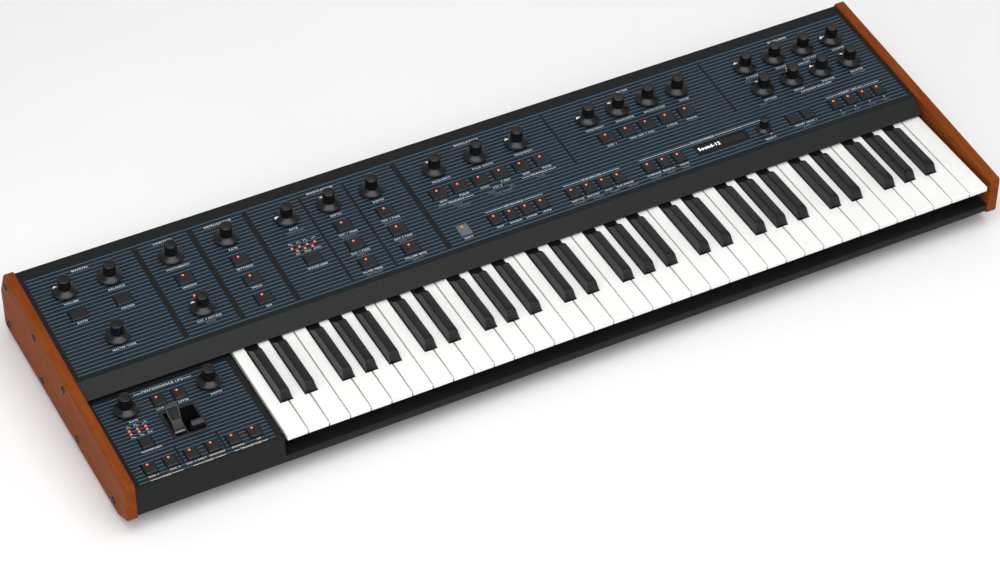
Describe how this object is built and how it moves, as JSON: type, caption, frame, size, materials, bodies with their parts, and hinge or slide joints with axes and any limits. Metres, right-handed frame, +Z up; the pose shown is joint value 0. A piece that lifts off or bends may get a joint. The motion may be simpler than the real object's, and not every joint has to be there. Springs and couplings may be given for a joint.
{
  "type": "keyboard synthesizer",
  "caption": "Full-size synthesizer with wooden cheeks, a sloping striped control panel of knobs and buttons, two performance levers and a keybed of sprung keys.",
  "frame": {"origin": "on the surface the instrument stands on, under the middle of its footprint", "axes": "+X is the player's right and the long side, +Y is towards the back, +Z is up"},
  "size_m": [1.0462, 0.3444, 0.1075],
  "materials": {
    "cheek_wood": "satin oiled reddish-brown hardwood",
    "case_steel": "charcoal satin powder coat",
    "white_key_plastic": "glossy moulded plastic",
    "black_key_plastic": "satin moulded plastic",
    "knob_plastic": "satin moulded plastic",
    "button_plastic": "satin moulded plastic",
    "lever_plastic": "satin moulded plastic",
    "frame_steel": "zinc plated steel",
    "board": "glass-fibre board with components",
    "pot_metal": "die-cast",
    "display_window": "dark glossy window",
    "socket_plastic": "moulded plastic",
    "foot_rubber": "moulded rubber",
    "screw_steel": "black oxide"
  },
  "bodies": {
    "root": {"left_cheek": "cheek_wood", "right_cheek": "cheek_wood", "cheek_screws": "screw_steel", "bottom_pan": "case_steel", "control_panel": "case_steel", "performance_panel": "case_steel", "keybed_frame": "frame_steel", "key_rod": "frame_steel", "potentiometers": "pot_metal", "circuit_boards": "board", "power_supply": "pot_metal", "display": "display_window", "lever_box": "lever_plastic", "rear_sockets": "socket_plastic", "rubber_feet": "foot_rubber"},
    "knob_volume": {"knob_volume": "knob_plastic"},
    "knob_balance": {"knob_balance": "knob_plastic"},
    "knob_master_tune": {"knob_master_tune": "knob_plastic"},
    "knob_portamento": {"knob_portamento": "knob_plastic"},
    "knob_detune": {"knob_detune": "knob_plastic"},
    "knob_arpeggio_rate": {"knob_arpeggio_rate": "knob_plastic"},
    "knob_lfo_rate": {"knob_lfo_rate": "knob_plastic"},
    "knob_frequency_depth": {"knob_frequency_depth": "knob_plastic"},
    "knob_width_depth": {"knob_width_depth": "knob_plastic"},
    "knob_oscillator_1": {"knob_oscillator_1": "knob_plastic"},
    "knob_pulse_width": {"knob_pulse_width": "knob_plastic"},
    "knob_oscillator_2": {"knob_oscillator_2": "knob_plastic"},
    "knob_filter_frequency": {"knob_filter_frequency": "knob_plastic"},
    "knob_resonance": {"knob_resonance": "knob_plastic"},
    "knob_filter_modulation": {"knob_filter_modulation": "knob_plastic"},
    "knob_noise": {"knob_noise": "knob_plastic"},
    "knob_filter_attack": {"knob_filter_attack": "knob_plastic"},
    "knob_loudness_attack": {"knob_loudness_attack": "knob_plastic"},
    "knob_filter_decay": {"knob_filter_decay": "knob_plastic"},
    "knob_loudness_decay": {"knob_loudness_decay": "knob_plastic"},
    "knob_filter_sustain": {"knob_filter_sustain": "knob_plastic"},
    "knob_loudness_sustain": {"knob_loudness_sustain": "knob_plastic"},
    "knob_filter_release": {"knob_filter_release": "knob_plastic"},
    "knob_loudness_release": {"knob_loudness_release": "knob_plastic"},
    "knob_select": {"knob_select": "knob_plastic"},
    "knob_performance_rate": {"knob_performance_rate": "knob_plastic"},
    "knob_performance_depth": {"knob_performance_depth": "knob_plastic"},
    "keys_c": {"keys_c": "white_key_plastic"},
    "keys_c_sharp": {"keys_c_sharp": "black_key_plastic"},
    "keys_d": {"keys_d": "white_key_plastic"},
    "keys_d_sharp": {"keys_d_sharp": "black_key_plastic"},
    "keys_e": {"keys_e": "white_key_plastic"},
    "keys_f": {"keys_f": "white_key_plastic"},
    "keys_f_sharp": {"keys_f_sharp": "black_key_plastic"},
    "keys_g": {"keys_g": "white_key_plastic"},
    "keys_g_sharp": {"keys_g_sharp": "black_key_plastic"},
    "keys_a": {"keys_a": "white_key_plastic"},
    "keys_a_sharp": {"keys_a_sharp": "black_key_plastic"},
    "keys_b": {"keys_b": "white_key_plastic"},
    "buttons_wide": {"buttons_wide": "button_plastic"},
    "buttons_small": {"buttons_small": "button_plastic"},
    "buttons_performance": {"buttons_performance": "button_plastic"},
    "pitch_lever": {"pitch_lever": "lever_plastic"},
    "modulation_lever": {"modulation_lever": "lever_plastic"},
    "power_switch": {"power_switch": "button_plastic"}
  },
  "joints": [
    {"name": "knob_volume_turn", "type": "hinge", "parent": "root", "child": "knob_volume", "pos_m": [-0.47119, 0.10635, 0.08569], "axis": [0, 0.0718, -0.9974], "range_deg": [-102, 198]},
    {"name": "knob_balance_turn", "type": "hinge", "parent": "root", "child": "knob_balance", "pos_m": [-0.42039, 0.10635, 0.08569], "axis": [0, 0.0718, -0.9974], "range_deg": [-170, 130]},
    {"name": "knob_master_tune_turn", "type": "hinge", "parent": "root", "child": "knob_master_tune", "pos_m": [-0.44579, 0.02387, 0.07975], "axis": [0, 0.0718, -0.9974], "range_deg": [-170, 130]},
    {"name": "knob_portamento_turn", "type": "hinge", "parent": "root", "child": "knob_portamento", "pos_m": [-0.35039, 0.10635, 0.08569], "axis": [0, 0.0718, -0.9974], "range_deg": [-175, 125]},
    {"name": "knob_detune_turn", "type": "hinge", "parent": "root", "child": "knob_detune", "pos_m": [-0.35039, 0.02387, 0.07975], "axis": [0, 0.0718, -0.9974], "range_deg": [-109, 191]},
    {"name": "knob_arpeggio_rate_turn", "type": "hinge", "parent": "root", "child": "knob_arpeggio_rate", "pos_m": [-0.28669, 0.10635, 0.08569], "axis": [0, 0.0718, -0.9974], "range_deg": [-185, 115]},
    {"name": "knob_lfo_rate_turn", "type": "hinge", "parent": "root", "child": "knob_lfo_rate", "pos_m": [-0.21599, 0.10635, 0.08569], "axis": [0, 0.0718, -0.9974], "range_deg": [-73, 227]},
    {"name": "knob_frequency_depth_turn", "type": "hinge", "parent": "root", "child": "knob_frequency_depth", "pos_m": [-0.16569, 0.10635, 0.08569], "axis": [0, 0.0718, -0.9974], "range_deg": [-128, 172]},
    {"name": "knob_width_depth_turn", "type": "hinge", "parent": "root", "child": "knob_width_depth", "pos_m": [-0.11489, 0.10635, 0.08569], "axis": [0, 0.0718, -0.9974], "range_deg": [-175, 125]},
    {"name": "knob_oscillator_1_turn", "type": "hinge", "parent": "root", "child": "knob_oscillator_1", "pos_m": [-0.03839, 0.10635, 0.08569], "axis": [0, 0.0718, -0.9974], "range_deg": [-134, 166]},
    {"name": "knob_pulse_width_turn", "type": "hinge", "parent": "root", "child": "knob_pulse_width", "pos_m": [0.01241, 0.10635, 0.08569], "axis": [0, 0.0718, -0.9974], "range_deg": [-170, 130]},
    {"name": "knob_oscillator_2_turn", "type": "hinge", "parent": "root", "child": "knob_oscillator_2", "pos_m": [0.06321, 0.10635, 0.08569], "axis": [0, 0.0718, -0.9974], "range_deg": [-94, 206]},
    {"name": "knob_filter_frequency_turn", "type": "hinge", "parent": "root", "child": "knob_filter_frequency", "pos_m": [0.15311, 0.10635, 0.08569], "axis": [0, 0.0718, -0.9974], "range_deg": [-78, 222]},
    {"name": "knob_resonance_turn", "type": "hinge", "parent": "root", "child": "knob_resonance", "pos_m": [0.19131, 0.10635, 0.08569], "axis": [0, 0.0718, -0.9974], "range_deg": [-121, 179]},
    {"name": "knob_filter_modulation_turn", "type": "hinge", "parent": "root", "child": "knob_filter_modulation", "pos_m": [0.22951, 0.10635, 0.08569], "axis": [0, 0.0718, -0.9974], "range_deg": [-175, 125]},
    {"name": "knob_noise_turn", "type": "hinge", "parent": "root", "child": "knob_noise", "pos_m": [0.26771, 0.10635, 0.08569], "axis": [0, 0.0718, -0.9974], "range_deg": [-180, 120]},
    {"name": "knob_filter_attack_turn", "type": "hinge", "parent": "root", "child": "knob_filter_attack", "pos_m": [0.35711, 0.10635, 0.08569], "axis": [0, 0.0718, -0.9974], "range_deg": [-99, 201]},
    {"name": "knob_loudness_attack_turn", "type": "hinge", "parent": "root", "child": "knob_loudness_attack", "pos_m": [0.35711, 0.06576, 0.08276], "axis": [0, 0.0718, -0.9974], "range_deg": [-139, 161]},
    {"name": "knob_filter_decay_turn", "type": "hinge", "parent": "root", "child": "knob_filter_decay", "pos_m": [0.39531, 0.10635, 0.08569], "axis": [0, 0.0718, -0.9974], "range_deg": [-170, 130]},
    {"name": "knob_loudness_decay_turn", "type": "hinge", "parent": "root", "child": "knob_loudness_decay", "pos_m": [0.39531, 0.06576, 0.08276], "axis": [0, 0.0718, -0.9974], "range_deg": [-156, 144]},
    {"name": "knob_filter_sustain_turn", "type": "hinge", "parent": "root", "child": "knob_filter_sustain", "pos_m": [0.43351, 0.10635, 0.08569], "axis": [0, 0.0718, -0.9974], "range_deg": [-185, 115]},
    {"name": "knob_loudness_sustain_turn", "type": "hinge", "parent": "root", "child": "knob_loudness_sustain", "pos_m": [0.43351, 0.06576, 0.08276], "axis": [0, 0.0718, -0.9974], "range_deg": [-100, 200]},
    {"name": "knob_filter_release_turn", "type": "hinge", "parent": "root", "child": "knob_filter_release", "pos_m": [0.47171, 0.10635, 0.08569], "axis": [0, 0.0718, -0.9974], "range_deg": [-78, 222]},
    {"name": "knob_loudness_release_turn", "type": "hinge", "parent": "root", "child": "knob_loudness_release", "pos_m": [0.47171, 0.06576, 0.08276], "axis": [0, 0.0718, -0.9974], "range_deg": [-127, 173]},
    {"name": "knob_select_turn", "type": "hinge", "parent": "root", "child": "knob_select", "pos_m": [0.32531, 0.0104, 0.07878], "axis": [0, 0.0718, -0.9974], "continuous": true},
    {"name": "knob_performance_rate_turn", "type": "hinge", "parent": "root", "child": "knob_performance_rate", "pos_m": [-0.47379, -0.06263, 0.0601], "axis": [0, 0, -1], "range_deg": [-170, 130]},
    {"name": "knob_performance_depth_turn", "type": "hinge", "parent": "root", "child": "knob_performance_depth", "pos_m": [-0.38189, -0.06263, 0.0601], "axis": [0, 0, -1], "range_deg": [-180, 120]},
    {"name": "keys_c_press", "type": "hinge", "parent": "root", "child": "keys_c", "pos_m": [0, 0.04277, 0.05], "axis": [1, 0, 0], "range_deg": [0, 2.67], "stiffness_Nm_per_rad": 6, "springref_deg": -11.46},
    {"name": "keys_c_sharp_press", "type": "hinge", "parent": "root", "child": "keys_c_sharp", "pos_m": [0, 0.04277, 0.05], "axis": [1, 0, 0], "range_deg": [0, 2.67], "stiffness_Nm_per_rad": 6, "springref_deg": -11.46},
    {"name": "keys_d_press", "type": "hinge", "parent": "root", "child": "keys_d", "pos_m": [0, 0.04277, 0.05], "axis": [1, 0, 0], "range_deg": [0, 2.67], "stiffness_Nm_per_rad": 6, "springref_deg": -11.46},
    {"name": "keys_d_sharp_press", "type": "hinge", "parent": "root", "child": "keys_d_sharp", "pos_m": [0, 0.04277, 0.05], "axis": [1, 0, 0], "range_deg": [0, 2.67], "stiffness_Nm_per_rad": 6, "springref_deg": -11.46},
    {"name": "keys_e_press", "type": "hinge", "parent": "root", "child": "keys_e", "pos_m": [0, 0.04277, 0.05], "axis": [1, 0, 0], "range_deg": [0, 2.67], "stiffness_Nm_per_rad": 6, "springref_deg": -11.46},
    {"name": "keys_f_press", "type": "hinge", "parent": "root", "child": "keys_f", "pos_m": [0, 0.04277, 0.05], "axis": [1, 0, 0], "range_deg": [0, 2.67], "stiffness_Nm_per_rad": 6, "springref_deg": -11.46},
    {"name": "keys_f_sharp_press", "type": "hinge", "parent": "root", "child": "keys_f_sharp", "pos_m": [0, 0.04277, 0.05], "axis": [1, 0, 0], "range_deg": [0, 2.67], "stiffness_Nm_per_rad": 6, "springref_deg": -11.46},
    {"name": "keys_g_press", "type": "hinge", "parent": "root", "child": "keys_g", "pos_m": [0, 0.04277, 0.05], "axis": [1, 0, 0], "range_deg": [0, 2.67], "stiffness_Nm_per_rad": 6, "springref_deg": -11.46},
    {"name": "keys_g_sharp_press", "type": "hinge", "parent": "root", "child": "keys_g_sharp", "pos_m": [0, 0.04277, 0.05], "axis": [1, 0, 0], "range_deg": [0, 2.67], "stiffness_Nm_per_rad": 6, "springref_deg": -11.46},
    {"name": "keys_a_press", "type": "hinge", "parent": "root", "child": "keys_a", "pos_m": [0, 0.04277, 0.05], "axis": [1, 0, 0], "range_deg": [0, 2.67], "stiffness_Nm_per_rad": 6, "springref_deg": -11.46},
    {"name": "keys_a_sharp_press", "type": "hinge", "parent": "root", "child": "keys_a_sharp", "pos_m": [0, 0.04277, 0.05], "axis": [1, 0, 0], "range_deg": [0, 2.67], "stiffness_Nm_per_rad": 6, "springref_deg": -11.46},
    {"name": "keys_b_press", "type": "hinge", "parent": "root", "child": "keys_b", "pos_m": [0, 0.04277, 0.05], "axis": [1, 0, 0], "range_deg": [0, 2.67], "stiffness_Nm_per_rad": 6, "springref_deg": -11.46},
    {"name": "buttons_wide_press", "type": "slide", "parent": "root", "child": "buttons_wide", "axis": [0, 0.0718, -0.9974], "range_m": [0, 0.001], "stiffness_N_per_m": 3000, "springref_m": -0.002},
    {"name": "buttons_small_press", "type": "slide", "parent": "root", "child": "buttons_small", "axis": [0, 0.0718, -0.9974], "range_m": [0, 0.001], "stiffness_N_per_m": 2500, "springref_m": -0.002},
    {"name": "buttons_performance_press", "type": "slide", "parent": "root", "child": "buttons_performance", "axis": [0, 0, -1], "range_m": [0, 0.001], "stiffness_N_per_m": 1500, "springref_m": -0.002},
    {"name": "pitch_lever_bend", "type": "hinge", "parent": "root", "child": "pitch_lever", "pos_m": [-0.43649, -0.10523, 0.0441], "axis": [1, 0, 0], "range_deg": [-18, 18], "stiffness_Nm_per_rad": 0.25},
    {"name": "modulation_lever_push", "type": "hinge", "parent": "root", "child": "modulation_lever", "pos_m": [-0.41749, -0.10523, 0.0441], "axis": [-1, 0, 0], "range_deg": [0, 38]},
    {"name": "power_switch_rock", "type": "hinge", "parent": "root", "child": "power_switch", "pos_m": [0.44131, 0.16623, 0.034], "axis": [1, 0, 0], "range_deg": [-16, 0]}
  ]
}
